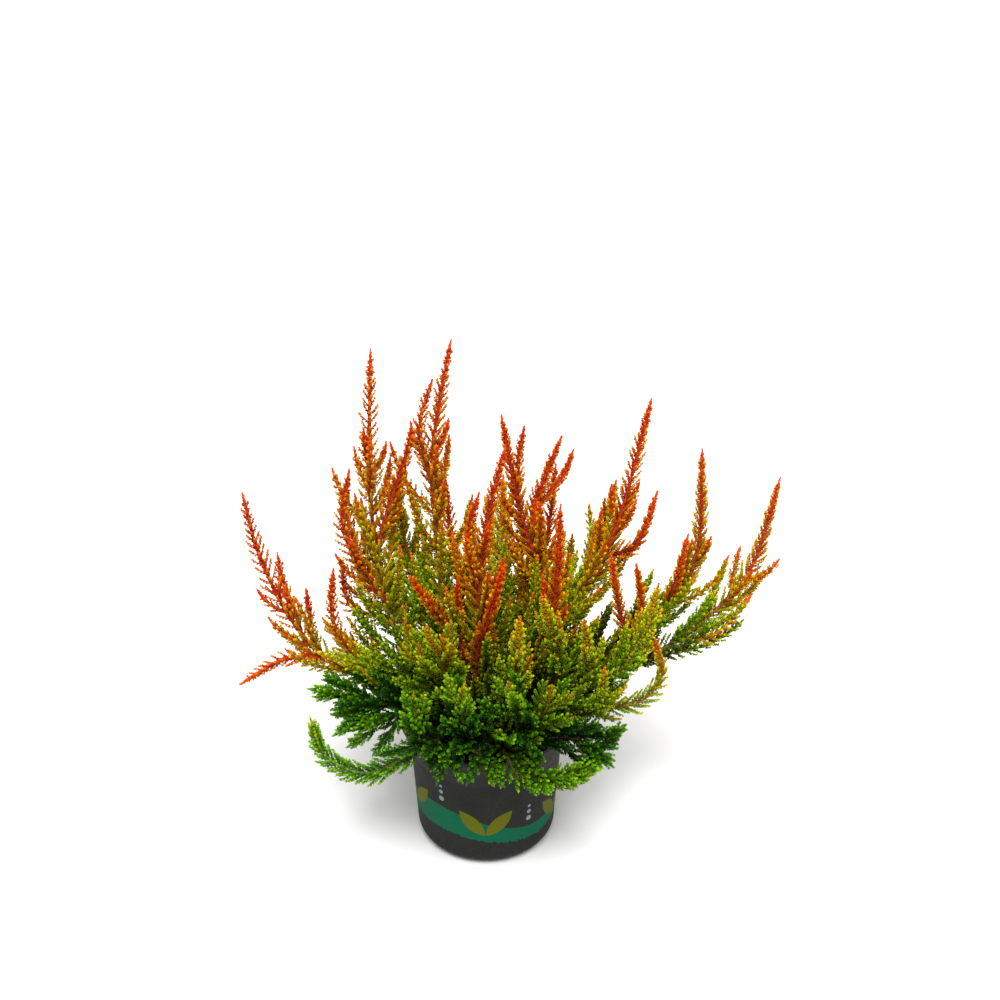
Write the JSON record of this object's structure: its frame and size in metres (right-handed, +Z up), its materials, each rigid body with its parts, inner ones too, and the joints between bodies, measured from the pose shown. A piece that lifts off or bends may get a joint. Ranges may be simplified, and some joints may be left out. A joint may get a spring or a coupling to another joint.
{
  "type": "potted heather plant",
  "caption": "Young heather house plant: upright leafy stems with orange tips, spreading from potting soil in a round tapered pot.",
  "frame": {"origin": "centre of the flat pad under the pot, on the surface that the pot stands on", "axes": "+Z up along the pot's axis, -Y towards the front of the plant in the picture, +X to its right"},
  "size_m": [0.3514, 0.2118, 0.3036],
  "materials": {
    "pot": "matte moulded recycled plastic, taupe brown-grey with fine dark specks",
    "soil": "moist dark peat with bark crumbs",
    "ember_heather": "scale leaves, orange with yellow tips on dark red shoots",
    "amber_heather": "scale leaves, yellow-green to amber",
    "green_heather": "scale leaves, saturated green with lighter tips"
  },
  "bodies": {
    "root": {"pot": "pot", "potting_soil": "soil", "stem_tall_left": "ember_heather", "stem_tall_middle": "ember_heather", "stem_long_left": "ember_heather", "stem_mid_left": "ember_heather", "stem_leaning_middle": "ember_heather", "stem_upright_middle": "ember_heather", "stem_arched_middle": "ember_heather", "stem_straight_right": "ember_heather", "stem_tall_right": "ember_heather", "stem_front_middle": "ember_heather", "stem_mid_right": "ember_heather", "stem_far_right": "ember_heather", "stem_long_right": "ember_heather", "stem_back_2": "ember_heather", "stem_back_4": "ember_heather", "stem_back_6": "ember_heather", "stem_curled_right": "amber_heather", "stem_upright_right": "amber_heather", "stem_high_left": "amber_heather", "stem_tuft_right": "amber_heather", "stem_front_right": "amber_heather", "stem_back_1": "amber_heather", "stem_back_3": "amber_heather", "stem_back_5": "amber_heather", "stem_drooping_left": "green_heather", "stem_drooping_right": "green_heather", "stem_skirt_right": "green_heather", "stem_skirt_front_left": "green_heather", "stem_skirt_left": "green_heather", "stem_skirt_front": "green_heather", "stem_skirt_front_right": "green_heather", "stem_front_left": "green_heather"}
  },
  "joints": []
}
